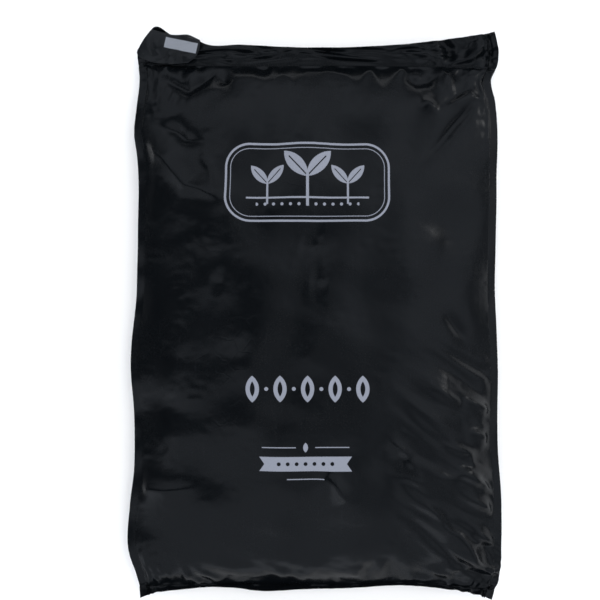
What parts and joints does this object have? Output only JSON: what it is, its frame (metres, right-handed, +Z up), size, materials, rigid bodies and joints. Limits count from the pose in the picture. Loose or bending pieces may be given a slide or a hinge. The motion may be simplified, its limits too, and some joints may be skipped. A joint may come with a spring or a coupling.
{
  "type": "compost bag",
  "caption": "Filled, sealed pillow bag of black film for compost, lying on its back, with a flange past the seal at each end and one corner folded over.",
  "frame": {"origin": "middle of the base of the bounding box, on the surface that the bag lies on", "axes": "+Z up through the printed front, +Y towards the top of the bag as it is read, +X to the right as it is read"},
  "size_m": [0.47, 0.72, 0.1537],
  "materials": {
    "film": "half glossy black polyethylene film"
  },
  "bodies": {
    "root": {"bag": "film"}
  },
  "joints": []
}
